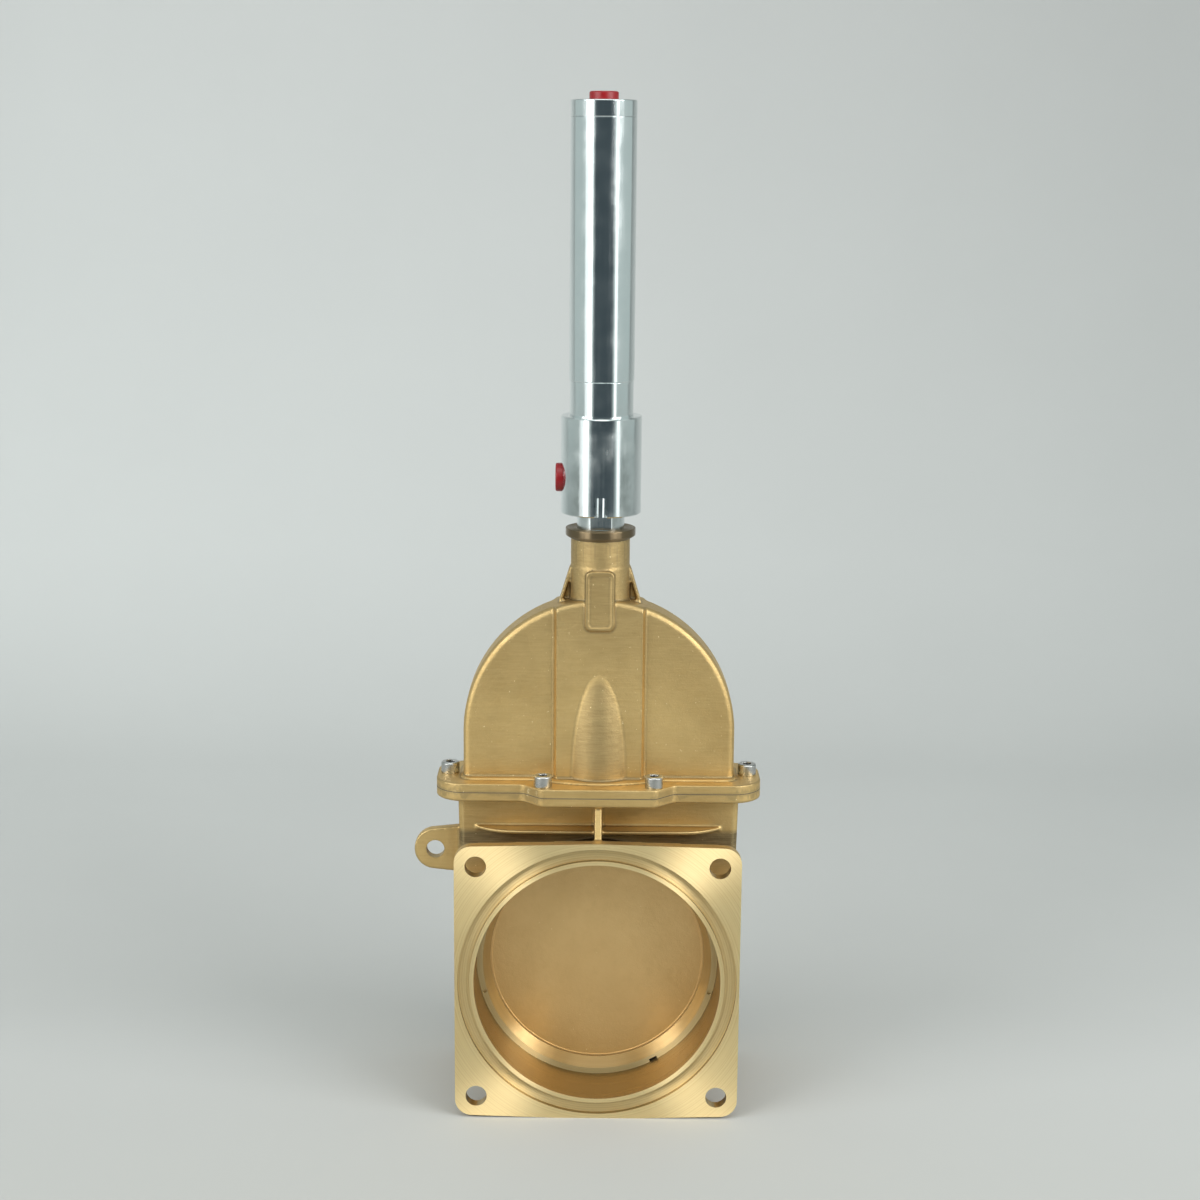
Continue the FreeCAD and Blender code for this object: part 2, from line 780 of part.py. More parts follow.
def seat_ring():
    """The front seat ring: conical mouth, seal groove, O-ring groove and spanner holes."""
    outer_face = -seat_outer_face
    inner_face = -seat_inner_face
    seal_low = seat_throat_radius + seat_seal_lip
    seal_high = seal_low + seat_seal_width
    seal_floor = inner_face - seat_seal_depth
    oring_middle = outer_face + seat_oring_setback
    oring_half = seat_oring_radius + running_gap
    oring_floor = seat_radius - 2 * seat_oring_radius
    outline = [
        (seat_mouth_radius, outer_face),
        (seat_radius, outer_face),
        (seat_radius, oring_middle - oring_half),
        (oring_floor, oring_middle - oring_half),
        (oring_floor, oring_middle + oring_half),
        (seat_radius, oring_middle + oring_half),
        (seat_radius, inner_face),
        (seal_high, inner_face),
        (seal_high, seal_floor),
        (seal_low, seal_floor),
        (seal_low, inner_face),
        (seat_throat_radius, inner_face),
    ]
    body = turned_y(outline)
    hole_radius = seat_radius - seat_face_width / 2
    cuts = []
    for angle in (spanner_hole_angle, 180 - spanner_hole_angle):
        x = hole_radius * math.cos(math.radians(angle))
        z = hole_radius * math.sin(math.radians(angle))
        cuts.append(rod_y(spanner_hole_radius, outer_face - OVERRUN, outer_face + spanner_hole_depth, x, z))
    notch = Part.makeBox(
        seat_face_width, lock_notch_depth + OVERRUN, lock_notch_width,
        Vector(seat_radius - seat_face_width / 2, outer_face - OVERRUN, -lock_notch_width / 2))
    notch.rotate(CENTRE, Y_AXIS, -lock_notch_angle)
    cuts.append(notch)
    return body.cut(cuts)


def seat_seal():
    """The front soft ring that presses on the gate."""
    inner = seat_throat_radius + seat_seal_lip + seat_fit
    outer = inner + seat_seal_width - 2 * seat_fit
    floor = -seat_inner_face - seat_seal_depth
    tip = -gate_half - seat_seal_gap
    crown = (outer - inner) / 4
    return turned_y([
        (inner, floor),
        (outer, floor),
        (outer, -seat_inner_face),
        (outer - crown, tip),
        (inner + crown, tip),
        (inner, -seat_inner_face),
    ])


def seat_oring():
    """The O-ring round the front seat ring."""
    middle = seat_oring_setback - seat_outer_face
    centre_radius = seat_radius - seat_oring_radius
    return oring(centre_radius, seat_oring_radius, middle, turned_y)


def gate():
    """The round gate blade with its boss and the slot that holds the coupling."""
    rim = gate_radius - gate_edge_chamfer
    face = gate_half - gate_edge_chamfer
    blade = turned_y([
        (0, -gate_half), (rim, -gate_half), (gate_radius, -face),
        (gate_radius, face), (rim, gate_half), (0, gate_half),
    ])
    inset_radius = gate_radius - gate_band_width
    inset = rod_y(inset_radius, -gate_half - OVERRUN, gate_face_inset - gate_half)
    stem = block(boss_half_width, gate_half, gate_radius - boss_root, boss_shoulder + OVERRUN)
    head = block(boss_half_width, boss_half_depth, boss_shoulder, boss_top)
    head = head.makeFillet(boss_corner_radius, edges_along(head, Z_AXIS, lambda middle: True))
    reach = boss_half_width + OVERRUN
    room = block(reach, button_radius + coupling_side_gap, slot_floor, slot_roof)
    mouth = block(reach, coupling_neck_radius + coupling_side_gap, slot_floor, boss_top + OVERRUN)
    return blade.multiFuse([stem, head]).cut(front_and_back(inset) + [room, mouth])


def gate_coupling():
    """The screwed coupling: a button in the gate's slot, a hexagon and a stud."""
    button = rod_z(button_radius, button_bottom, button_top)
    neck = rod_z(coupling_neck_radius, button_bottom, hex_bottom + OVERRUN)
    grip = hexagon(coupling_hex_across, hex_bottom, rod_bottom)
    stud = rod_z(stud_radius, rod_bottom - OVERRUN, rod_bottom + stud_length)
    return button.multiFuse([neck, grip, stud])


def piston_rod():
    """The plated rod from the coupling to the piston."""
    hole = stud_radius + seat_fit
    hole_top = rod_bottom + stud_length + OVERRUN
    chamfer = head_edge_chamfer
    return turned_z([
        (hole, rod_bottom),
        (rod_radius - chamfer, rod_bottom),
        (rod_radius, rod_bottom + chamfer),
        (rod_radius, piston_bottom),
        (rod_spigot_radius, piston_bottom),
        (rod_spigot_radius, nut_top),
        (0, nut_top),
        (0, hole_top),
        (hole, hole_top),
    ])


def piston_ring_places():
    """Low and high ends of the two piston seals and of the guide ring between them."""
    lower = piston_bottom + piston_seal_edge
    upper = piston_top - piston_seal_edge - piston_seal_width
    middle = (lower + upper + piston_seal_width) / 2
    seals = [(lower, lower + piston_seal_width), (upper, upper + piston_seal_width)]
    guide = (middle - guide_ring_width / 2, middle + guide_ring_width / 2)
    return seals, guide


def piston_oring_place():
    """Centre height of the O-ring between the piston and the rod."""
    return piston_bottom + (nut_bottom - piston_bottom) / 2


def piston():
    """The piston with its ring grooves and the pocket for its nut."""
    body = ring(spigot_hole_radius, piston_radius, piston_bottom, piston_top)
    seals, guide = piston_ring_places()
    cuts = [rod_z(nut_pocket_radius, nut_bottom, piston_top + OVERRUN)]
    for low, high in seals + [guide]:
        cuts.append(ring(seal_inner_radius, piston_radius + OVERRUN, low, high))
    middle = piston_oring_place()
    half = piston_oring_radius + running_gap
    groove = spigot_hole_radius + 2 * piston_oring_radius
    cuts.append(ring(spigot_hole_radius - running_gap, groove, middle - half, middle + half))
    return body.cut(cuts)


def piston_seals():
    """The two rubber seals of the piston."""
    seals = piston_ring_places()[0]
    outer = cylinder_bore_radius - running_gap
    inner = seal_inner_radius + seat_fit
    return Part.makeCompound([lip_ring(inner, outer, low, high) for low, high in seals])


def piston_guide_ring():
    """The plastic ring that keeps the piston off the tube."""
    low, high = piston_ring_places()[1]
    return ring(seal_inner_radius + seat_fit, cylinder_bore_radius - running_gap, low, high)


def piston_oring():
    """The O-ring between the piston and the rod."""
    centre_radius = spigot_hole_radius + piston_oring_radius
    return oring(centre_radius, piston_oring_radius, piston_oring_place(), turned_z)


def piston_nut():
    """The nut that clamps the piston on the rod."""
    hole = rod_z(spigot_hole_radius, nut_bottom - OVERRUN, nut_top + OVERRUN)
    return hexagon(nut_across, nut_bottom, nut_top).cut(hole)


def neck_bush():
    """The brass bush that guides the rod in the neck, with its O-ring groove."""
    body = ring(rod_radius + running_gap, neck_bush_radius, neck_bush_bottom, neck_bush_top)
    middle = (neck_bush_bottom + neck_bush_top) / 2
    half = neck_oring_radius + running_gap
    floor = neck_bush_radius - 2 * neck_oring_radius
    return body.cut(ring(floor, neck_bush_radius + OVERRUN, middle - half, middle + half))


def neck_oring():
    """The O-ring round the neck bush."""
    middle = (neck_bush_bottom + neck_bush_top) / 2
    centre_radius = neck_bush_radius - neck_oring_radius
    return oring(centre_radius, neck_oring_radius, middle, turned_z)


def neck_seal():
    """The lip seal that keeps the load out of the cylinder nose."""
    return lip_ring(rod_radius + seal_rod_gap, neck_bush_radius, neck_bush_top, neck_seal_top, False)


def lock_ring():
    """The brass ring that locks the cylinder in the neck."""
    inner = nose_radius + seat_fit
    cone_top = neck_top + lock_ring_cone
    return turned_z([
        (inner, neck_top),
        (neck_radius, neck_top),
        (lock_ring_radius, cone_top),
        (lock_ring_radius, lock_ring_top - running_gap),
        (inner, lock_ring_top - running_gap),
    ])


def head_bore():
    """The stepped bore of the cylinder head, from the nose up."""
    socket = land_radius + seat_fit
    oring_middle = socket_floor + head_oring_height
    oring_half = head_oring_radius + running_gap
    return [
        rod_z(wiper_radius + seat_fit, nose_bottom - OVERRUN, wiper_seat_top),
        rod_z(bush_radius + seat_fit, wiper_seat_top - OVERRUN, bush_top),
        rod_z(rod_bore_radius, bush_top - OVERRUN, gallery_floor + OVERRUN),
        rod_z(rod_seal_radius + seat_fit, rod_seal_floor, rod_seal_roof),
        rod_z(gallery_radius, gallery_floor, socket_floor + OVERRUN),
        rod_z(socket, socket_floor, head_top + OVERRUN),
        ring(land_radius, socket + 2 * head_oring_radius, oring_middle - oring_half, oring_middle + oring_half),
    ]


def cylinder_head():
    """The turned steel head: threaded nose, flats, side port and spanner notches."""
    chamfer = head_edge_chamfer
    outside = turned_z([
        (0, nose_bottom),
        (nose_radius - chamfer, nose_bottom),
        (nose_radius, nose_bottom + chamfer),
        (nose_radius, head_bottom),
        (head_radius - chamfer, head_bottom),
        (head_radius, head_bottom + chamfer),
        (head_radius, head_top - chamfer),
        (head_radius - chamfer, head_top),
        (0, head_top),
    ])
    cuts = head_bore()
    flat = nose_radius - nose_flat_depth
    jaw = Part.makeBox(
        2 * nose_radius, nose_radius, head_bottom - lock_ring_top,
        Vector(-nose_radius, -flat - nose_radius, lock_ring_top))
    cuts += front_and_back(jaw)
    notch_y = notch_offset - head_radius
    cuts += front_and_back(rod_z(notch_radius, head_bottom - OVERRUN, head_bottom + notch_height, 0, notch_y))
    facing = Part.makeCylinder(
        port_spot_radius, head_radius, Vector(-port_seat_x, 0, port_z), Vector(-1, 0, 0))
    thread = Part.makeCylinder(
        port_radius, port_depth + OVERRUN, Vector(-port_seat_x - OVERRUN, 0, port_z), X_AXIS)
    drill = Part.makeCylinder(port_drill_radius, port_seat_x, Vector(-port_seat_x, 0, port_z), X_AXIS)
    cuts += [facing, thread, drill]
    return outside.cut(cuts)


def head_oring():
    """The O-ring round the foot of the cylinder tube."""
    centre_radius = land_radius + seat_fit + head_oring_radius
    return oring(centre_radius, head_oring_radius, socket_floor + head_oring_height, turned_z)


def rod_guide_bush():
    """The bronze bush that guides the rod in the nose."""
    return ring(rod_radius + running_gap, bush_radius, bush_bottom, bush_top)


def rod_wiper():
    """The wiper at the mouth of the nose."""
    inner = rod_radius + seal_rod_gap
    low = wiper_seat_top - wiper_height
    return lip_ring(inner, wiper_radius, low, wiper_seat_top, False)


def rod_seal():
    """The lip seal that holds the oil in the head."""
    inner = rod_radius + seal_rod_gap
    low = rod_seal_floor + rod_seal_seat_gap
    return lip_ring(inner, rod_seal_radius, low, low + rod_seal_height)


def cylinder_tube():
    """The tube that the piston runs in, turned down where it enters the head."""
    chamfer = cap_chamfer
    return turned_z([
        (cylinder_bore_radius, socket_floor),
        (land_radius, socket_floor),
        (land_radius, tube_shoulder),
        (tube_radius - chamfer, tube_shoulder),
        (tube_radius, tube_shoulder + chamfer),
        (tube_radius, tube_top - chamfer / 2),
        (tube_radius - chamfer / 2, tube_top),
        (cylinder_bore_radius, tube_top),
    ])


def end_cap():
    """The screwed cap of the tube with the top port."""
    spigot = cylinder_bore_radius - seat_fit
    chamfer = cap_chamfer
    body = turned_z([
        (0, cap_face),
        (spigot, cap_face),
        (spigot, tube_top),
        (tube_radius - chamfer / 2, tube_top),
        (tube_radius, tube_top + chamfer / 2),
        (tube_radius, cap_top - chamfer),
        (tube_radius - chamfer, cap_top),
        (0, cap_top),
    ])
    middle = cap_face + cap_oring_height
    half = cap_oring_radius + running_gap
    groove = ring(spigot - 2 * cap_oring_radius, tube_radius, middle - half, middle + half)
    thread = rod_z(port_radius, cap_top - port_depth, cap_top + OVERRUN)
    drill = rod_z(port_drill_radius, cap_face - OVERRUN, cap_top)
    return body.cut([groove, thread, drill])


def cap_oring():
    """The O-ring of the end cap."""
    centre_radius = cylinder_bore_radius - seat_fit - cap_oring_radius
    return oring(centre_radius, cap_oring_radius, cap_face + cap_oring_height, turned_z)


def transit_plug():
    """A red port plug with its flange's underside at the origin, standing up along z."""
    stem = port_radius - plug_stem_gap
    chamfer = plug_edge_chamfer
    body = turned_z([
        (stem - plug_wall, -plug_stem_length),
        (stem - chamfer, -plug_stem_length),
        (stem, chamfer - plug_stem_length),
        (stem, 0),
        (plug_flange_radius, 0),
        (plug_flange_radius, plug_flange_height - chamfer),
        (plug_flange_radius - chamfer, plug_flange_height),
        (0, plug_flange_height),
        (0, 0),
        (stem - plug_wall, 0),
    ])
    socket = hexagon(plug_hex_across, plug_flange_height - plug_hex_depth, plug_flange_height + OVERRUN)
    return body.cut(socket)


def top_port_plug():
    """The plug of the closing port in the end cap."""
    plug = transit_plug()
    plug.translate(Vector(0, 0, cap_top))
    return plug


def side_port_plug():
    """The plug of the opening port in the side of the head."""
    plug = transit_plug()
    plug.rotate(CENTRE, Y_AXIS, -90)
    plug.translate(Vector(-port_seat_x, 0, port_z))
    return plug


def back(shape):
    """The same piece behind the gate."""
    return shape.mirror(CENTRE, Y_AXIS)


nodes = {
    "valve_body": valve_body(),
    "bonnet": bonnet(),
    "bonnet_gasket": bonnet_gasket(),
    "bonnet_screws": bonnet_screws(),
    "front_seat_ring": seat_ring(),
    "rear_seat_ring": back(seat_ring()),
    "front_seat_seal": seat_seal(),
    "rear_seat_seal": back(seat_seal()),
    "front_seat_oring": seat_oring(),
    "rear_seat_oring": back(seat_oring()),
    "gate": gate(),
    "gate_coupling": gate_coupling(),
    "piston_rod": piston_rod(),
    "piston": piston(),
    "piston_nut": piston_nut(),
    "piston_seals": piston_seals(),
    "piston_guide_ring": piston_guide_ring(),
    "piston_oring": piston_oring(),
    "neck_bush": neck_bush(),
    "neck_oring": neck_oring(),
    "neck_seal": neck_seal(),
    "lock_ring": lock_ring(),
    "cylinder_head": cylinder_head(),
    "head_oring": head_oring(),
    "rod_guide_bush": rod_guide_bush(),
    "rod_wiper": rod_wiper(),
    "rod_seal": rod_seal(),
    "cylinder_tube": cylinder_tube(),
    "end_cap": end_cap(),
    "cap_oring": cap_oring(),
    "top_port_plug": top_port_plug(),
    "side_port_plug": side_port_plug(),
}

os.makedirs("parts", exist_ok=True)
for name, shape in nodes.items():
    shape.translate(Vector(0, half_length, 0))
    shape.exportStep("parts/" + name + ".step")
    size = shape.BoundBox
    print(name, len(shape.Solids), "solids", "valid" if shape.isValid() else "NOT VALID",
          round(shape.Volume), "mm3",
          [round(value, 2) for value in (size.XMin, size.XMax, size.YMin, size.YMax, size.ZMin, size.ZMax)])
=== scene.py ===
import json
import math

import bmesh
import bpy
from mathutils import Matrix, Vector


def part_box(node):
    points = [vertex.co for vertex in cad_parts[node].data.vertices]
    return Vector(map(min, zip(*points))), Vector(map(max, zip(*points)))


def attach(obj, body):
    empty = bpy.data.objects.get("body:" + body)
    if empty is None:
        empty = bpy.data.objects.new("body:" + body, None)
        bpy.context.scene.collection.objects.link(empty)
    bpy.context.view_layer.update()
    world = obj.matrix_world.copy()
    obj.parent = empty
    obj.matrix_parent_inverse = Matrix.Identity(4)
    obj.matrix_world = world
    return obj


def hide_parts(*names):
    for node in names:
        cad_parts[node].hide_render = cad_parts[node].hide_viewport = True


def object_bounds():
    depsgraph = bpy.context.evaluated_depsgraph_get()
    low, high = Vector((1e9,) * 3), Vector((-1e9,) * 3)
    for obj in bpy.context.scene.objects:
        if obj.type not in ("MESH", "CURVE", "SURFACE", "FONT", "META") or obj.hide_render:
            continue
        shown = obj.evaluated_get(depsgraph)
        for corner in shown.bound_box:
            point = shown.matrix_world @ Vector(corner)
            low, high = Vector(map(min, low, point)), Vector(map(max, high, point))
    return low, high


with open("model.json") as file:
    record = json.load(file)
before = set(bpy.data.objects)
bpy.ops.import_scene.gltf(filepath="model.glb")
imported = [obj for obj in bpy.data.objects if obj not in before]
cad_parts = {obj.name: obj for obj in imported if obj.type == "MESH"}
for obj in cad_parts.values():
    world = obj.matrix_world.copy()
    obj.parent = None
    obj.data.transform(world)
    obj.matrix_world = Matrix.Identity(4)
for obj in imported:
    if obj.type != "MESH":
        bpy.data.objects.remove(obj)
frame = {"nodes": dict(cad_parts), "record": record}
cad_box = [list(corner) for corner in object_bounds()]

MM = 0.001

# Camera, as worked out from the photograph: places in metres, angles in degrees, and the sensor
# in millimetres
PHOTO_SIZE = 1200
FOCAL_PIXELS = 2166
SENSOR_WIDTH = 36.0
CAMERA_FRONT = 1.434
CAMERA_HEIGHT = 0.569
CAMERA_PITCH = 11.6
CAMERA_ROLL = 0.47
CLIP_START = 0.05
CLIP_END = 30


def sockets(node, inputs):
    """Fills the inputs of a node by name or number, with values or links."""
    tree = node.id_data
    for key, value in inputs.items():
        if isinstance(value, bpy.types.NodeSocket):
            tree.links.new(value, node.inputs[key])
        else:
            node.inputs[key].default_value = value


class Nodes:
    """A node tree under construction."""

    def __init__(self, tree):
        self.tree = tree
        self.tree.nodes.clear()

    def add(self, kind, inputs=None, **settings):
        node = self.tree.nodes.new("ShaderNode" + kind)
        for key, value in settings.items():
            setattr(node, key, value)
        sockets(node, inputs or {})
        return node

    def output(self, kind, shader):
        self.tree.links.new(shader.outputs[0], self.add(kind).inputs[0])

    def math(self, operation, a, b=0.0):
        return self.add("Math", {0: a, 1: b}, operation=operation).outputs[0]

    def vector(self, operation, a, b=(0.0, 0.0, 0.0)):
        return self.add("VectorMath", {0: a, 1: b}, operation=operation).outputs[0]

    def parts(self, vector):
        return self.add("SeparateXYZ", {0: vector}).outputs

    def scaled(self, value, low, high, new_low=0.0, new_high=1.0):
        """A value whose range from low to high is drawn to the new range and held within it."""
        limits = {"From Min": low, "From Max": high, "To Min": new_low, "To Max": new_high}
        return self.add("MapRange", {"Value": value, **limits}).outputs[0]

    def mix(self, factor, first, second):
        return self.add("Mix", {0: factor, 6: first, 7: second}, data_type="RGBA").outputs[2]


class Look(Nodes):
    """A node material under construction, with object coordinates in metres."""

    def __init__(self, name):
        self.material = bpy.data.materials.new(name)
        self.material.use_nodes = True
        super().__init__(self.material.node_tree)
        self.shader = self.add("BsdfPrincipled")
        self.output("OutputMaterial", self.shader)
        self.place = self.add("TexCoord").outputs["Object"]

    def set(self, **inputs):
        sockets(self.shader, {key.replace("_", " "): value for key, value in inputs.items()})

    def stretched(self, stretch):
        return self.vector("MULTIPLY", self.place, stretch)

    def noise(self, grain, detail=3.0, roughness=0.55, place=None):
        """Noise whose lumps are about as wide as the grain."""
        shape = {"Scale": 1 / grain, "Detail": detail, "Roughness": roughness}
        return self.add("TexNoise", {"Vector": place or self.place, **shape}).outputs["Fac"]

    def bump(self, height, depth, strength=1.0, normal=None):
        inputs = {"Height": height, "Distance": depth, "Strength": strength}
        if normal is not None:
            inputs["Normal"] = normal
        return self.add("Bump", inputs).outputs[0]

    def soft_edges(self, radius):
        return self.add("Bevel", {"Radius": radius}, samples=6).outputs[0]

    def turning(self, axis):
        """What a surface turned about the bore (Y) or the rod (Z) needs: its tangent across the
        tool marks, how far it faces along the axis, its radius, and a place for its rings."""
        middle = (0.0, 0.0, 0.0) if axis == "Y" else (0.0, ROD_Y, 0.0)
        parts = self.parts(self.vector("SUBTRACT", self.place, middle))
        first = parts["X"]
        second = parts["Z" if axis == "Y" else "Y"]
        back = self.math("MULTIPLY", first, -1.0)
        around = {0: second, 2: back} if axis == "Y" else {0: second, 1: back}
        circle = self.add("CombineXYZ", around).outputs[0]
        normal = self.add("NewGeometry").outputs["Normal"]
        tangent = self.vector("NORMALIZE", self.vector("CROSS_PRODUCT", normal, circle))
        flat = self.math("ABSOLUTE", self.parts(normal)[axis])
        squares = [self.math("MULTIPLY", side, side) for side in (first, second)]
        radius = self.math("SQRT", self.math("ADD", *squares))
        rings_at = self.add("CombineXYZ", {0: radius, 1: parts[axis]}).outputs[0]
        return tangent, flat, radius, rings_at


def mount(name):
    return next(entry for entry in frame["record"]["mounts"] if entry["name"] == name)


def shade(red, green, blue):
    return (red, green, blue, 1.0)


ROD_Y = mount("close_port")["pos_m"][1]
SOFT_EDGE = 0.4 * MM

# Tones of cast brass, bare and worn
CAST_TONES = (shade(0.74, 0.50, 0.225), shade(0.81, 0.56, 0.26))
WORN_TONES = (shade(0.59, 0.405, 0.165), shade(0.715, 0.51, 0.22))
STAIN = shade(0.46, 0.32, 0.14)
# Painted shade, laid on higher up and on the hump's face
HEIGHT_SHADE = shade(0.34, 0.245, 0.12)
# Painted shade, laid in the hollows and in the nook under the level rib
PAINTED_SHADE = shade(0.17, 0.13, 0.075)
STROKE = shade(0.84, 0.66, 0.34)
# Painted shade on the rounded convex edges
EDGE_SHADE = shade(0.36, 0.265, 0.13)
BRIGHT_EDGE = shade(0.98, 0.84, 0.52)
SPECK = shade(1.0, 0.85, 0.5)

# Where worn castings carry painted shade, each as the places where the change starts and ends:
# darker higher up, on the hump's face, and in the nook under the level rib. Rises are heights from
# the passage's axis, and depths are from the valve's middle plane.
UPPER_RISE = (0.19, 0.29)
HUMP_FOOT_RISE = (0.137, 0.139)
HUMP_TIP_RISE = (0.216, 0.213)
HUMP_FACE_DEPTH = (0.0211, 0.0222)
NOOK_TOP_RISE = (0.1, 0.096)
NOOK_FOOT_RISE = (0.07, 0.09)
NOOK_INNER_DEPTH = (0.011, 0.014)
NOOK_OUTER_DEPTH = (0.048, 0.04)

# Tones of machined brass, and the radii between which the bore's walls give way to the grooves'
FACE_TONES = (shade(1.0, 0.765, 0.385), shade(1.0, 0.82, 0.46))
RING_TONE = shade(0.76, 0.55, 0.25)
WALL_TONE = shade(0.38, 0.265, 0.12)
DULL_TURNED = shade(0.2, 0.15, 0.09)
BORE_EDGE = (0.0875, 0.0885)


def cast_brass(worn=False):
    """Blasted sand-cast brass. Where worn, it is linished in level strokes, with bright nicks on
    its edges,
    and it carries painted shade: darker in its hollows, on its rounded edges, higher up, on the
    hump's face and in the nook under the level rib."""
    look = Look("cast_brass")
    broad = look.noise(0.055, 4.0)
    patches = look.noise(0.011, 5.0, 0.65)
    grain = look.noise(0.0007, 2.0)
    skin = look.noise(0.0035, 4.0, 0.6)
    tone = look.mix(look.scaled(broad, 0.35, 0.68), *(WORN_TONES if worn else CAST_TONES))
    tone = look.mix(look.scaled(patches, 0.5, 0.8, 0.0, 0.35 if worn else 0.1), tone, STAIN)
    height = look.math("ADD", grain, look.math("MULTIPLY", skin, 2.0))
    roughness = look.scaled(patches, 0.3, 0.75, 0.46, 0.55)
    if worn:
        # Painted shade: darker higher up and on the hump's face
        tone = look.mix(shade_by_height(look), tone, HEIGHT_SHADE)
        # Painted shade in the nook under the level rib
        tone = look.mix(shade_under_rib(look), tone, PAINTED_SHADE)
        strokes = look.noise(0.0011, 3.0, 0.6, look.stretched((0.07, 0.3, 1.0)))
        tone = look.mix(look.scaled(strokes, 0.35, 0.7, 0.0, 0.2), tone, STROKE)
        height = look.math("ADD", height, look.math("MULTIPLY", strokes, 0.6))
        point = look.add("NewGeometry").outputs["Pointiness"]
        # Painted shade in the hollows, where pointiness is low
        tone = look.mix(look.scaled(point, 0.497, 0.47, 0.0, 0.75), tone, PAINTED_SHADE)
        # Painted shade on the convex edges, where pointiness is high
        tone = look.mix(look.scaled(point, 0.504, 0.525, 0.0, 0.45), tone, EDGE_SHADE)
        ragged = look.scaled(look.noise(0.004, 4.0, 0.7), 0.52, 0.66)
        ragged = look.math("MULTIPLY", look.scaled(point, 0.54, 0.6), ragged)
        tone = look.mix(ragged, tone, BRIGHT_EDGE)
        roughness = look.math("SUBTRACT", roughness, look.math("MULTIPLY", ragged, 0.15))
    specks = look.scaled(look.noise(0.0016, 1.0), 0.75, 0.81)
    look.set(Base_Color=look.mix(specks, tone, SPECK), Metallic=1.0, Roughness=roughness)
    look.set(Normal=look.bump(height, 0.00012))
    return look.material


def depth_of(look):
    """How far a place is from the valve's middle plane."""
    return look.math("ABSOLUTE", look.math("SUBTRACT", look.parts(look.place)["Y"], ROD_Y))


def shade_by_height(look):
    """How much painted shade a casting gets: more with height, and on the hump's face."""
    rise = look.parts(look.place)["Z"]
    upper = look.scaled(rise, *UPPER_RISE, 0.0, 0.55)
    foot = look.scaled(rise, *HUMP_FOOT_RISE)
    hump = look.math("MULTIPLY", foot, look.scaled(rise, *HUMP_TIP_RISE))
    face = look.scaled(depth_of(look), *HUMP_FACE_DEPTH, 0.0, 0.6)
    return look.math("MAXIMUM", upper, look.math("MULTIPLY", hump, face))


def shade_under_rib(look):
    """How much painted shade falls on the body's wall in the nook between the level rib and a
    flange.
    """
    rise = look.parts(look.place)["Z"]
    depth = depth_of(look)
    top = look.scaled(rise, *NOOK_TOP_RISE)
    nook = look.math("MULTIPLY", top, look.scaled(rise, *NOOK_FOOT_RISE))
    nook = look.math("MULTIPLY", nook, look.scaled(depth, *NOOK_INNER_DEPTH))
    return look.math("MULTIPLY", nook, look.scaled(depth, *NOOK_OUTER_DEPTH, 0.0, 0.9))


def machined_brass(axis, shine=1.0):
    """Turned brass with fine rings: pale on its faces, and duller and browner round the bore or
    the rod."""
    look = Look("machined_brass")
    tangent, flat, radius, rings_at = look.turning(axis)
    rings = look.noise(0.0011, 3.0, 0.6, rings_at)
    tone = look.mix(look.noise(0.03, 3.0), *FACE_TONES)
    tone = look.mix(look.scaled(rings, 0.45, 0.66, 0.0, 0.4), tone, RING_TONE)
    inside = look.scaled(radius, *BORE_EDGE, 1.0, 0.85)
    tone = look.mix(look.math("MULTIPLY", look.scaled(flat, 0.6, 0.1), inside), tone, WALL_TONE)
    tone = look.mix(1.0 - shine, tone, DULL_TURNED)
    look.set(Base_Color=tone, Metallic=1.0, Anisotropic=0.95, Tangent=tangent)
    ringed = look.scaled(flat, 0.2, 0.9, 0.15, 1.0)
    uneven = look.math("MULTIPLY", look.scaled(rings, 0.3, 0.7, -0.06, 0.06), ringed)
    look.set(Roughness=look.math("ADD", uneven, look.scaled(flat, 0.2, 0.9, 0.28, 0.5)))
    look.set(Normal=look.bump(rings, 0.00002, 0.4))
    return look.material


def turned_steel(smears=0.08):
    """Bright turned and zinc-plated steel, with faint lengthwise streaks and cloudy smears."""
    look = Look("turned_steel")
    tangent, _, _, rings_at = look.turning("Z")
    streaks = look.noise(0.0012, 3.0, 0.6, look.stretched((1.0, 1.0, 0.02)))
    rings = look.noise(0.0005, 2.0, 0.5, rings_at)
    smear = look.noise(0.02, 4.0, 0.6)
    tone = look.mix(smear, shade(0.71, 0.76, 0.77), shade(0.82, 0.86, 0.86))
    look.set(Base_Color=tone, Metallic=1.0, Anisotropic=0.3, Tangent=tangent)
    streaky = look.scaled(streaks, 0.3, 0.7, 0.09, 0.15)
    cloudy = look.scaled(smear, 0.4, 0.7, 0.0, smears)
    look.set(Roughness=look.math("ADD", streaky, cloudy))
    look.set(Normal=look.bump(rings, 0.00001, 0.5))
    return look.material


def plain_metal(name, low, high, roughness):
    """Bright metal with a faint smear."""
    look = Look(name)
    smear = look.noise(0.006, 4.0, 0.6)
    look.set(Base_Color=look.mix(smear, low, high), Metallic=1.0)
    look.set(Roughness=look.scaled(smear, 0.3, 0.7, roughness * 0.8, roughness * 1.25))
    look.set(Normal=look.soft_edges(SOFT_EDGE))
    return look.material


def red_plastic():
    """Moulded red plastic with a slight grain."""
    look = Look("red_plastic")
    mottle = look.noise(0.003, 3.0)
    look.set(Base_Color=look.mix(mottle, shade(0.22, 0.002, 0.005), shade(0.28, 0.004, 0.008)))
    look.set(Roughness=look.scaled(mottle, 0.3, 0.7, 0.32, 0.45))
    look.set(Normal=look.bump(look.noise(0.0008), 0.00003, 0.5, look.soft_edges(SOFT_EDGE)))
    return look.material


